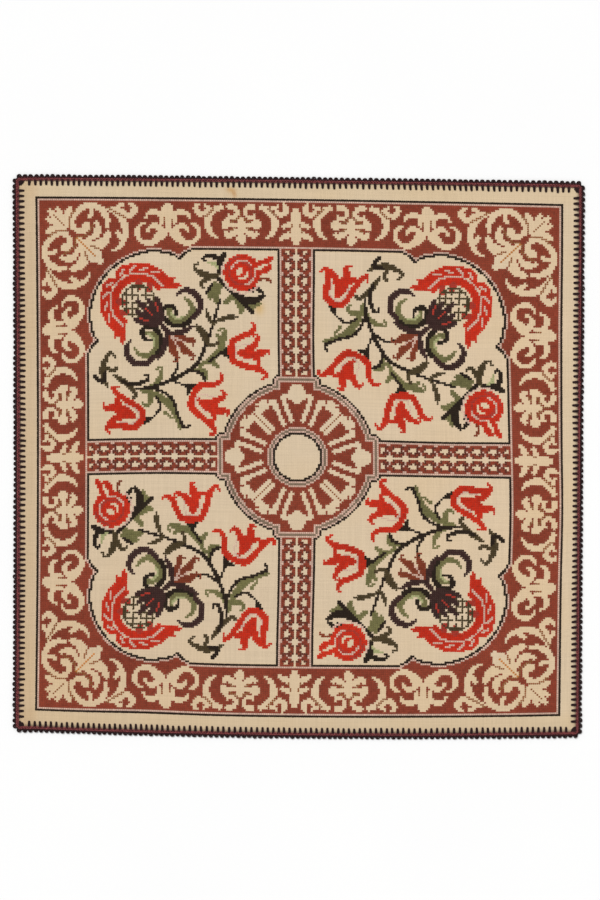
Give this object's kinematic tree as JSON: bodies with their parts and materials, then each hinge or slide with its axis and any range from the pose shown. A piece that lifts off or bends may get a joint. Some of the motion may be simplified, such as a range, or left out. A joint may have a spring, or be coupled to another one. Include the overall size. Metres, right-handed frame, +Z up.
{
  "type": "tapestry",
  "caption": "Square linen tapestry cover worked in wool cross stitch, with a patterned border, a cross of two bands, a round medallion and a crocheted edging, laid flat.",
  "frame": {"origin": "centre of the underside, which lies on the surface", "axes": "+Z up out of the cloth's face, +Y towards the top of the design, +X to its right"},
  "size_m": [0.916, 0.9038, 0.0034],
  "materials": {
    "linen": "evenweave linen with wool cross stitch",
    "edging_yarn": "crocheted wool yarn"
  },
  "bodies": {
    "root": {"cloth": "linen", "edging_top": "edging_yarn", "edging_right": "edging_yarn", "edging_bottom": "edging_yarn", "edging_left": "edging_yarn"}
  },
  "joints": []
}
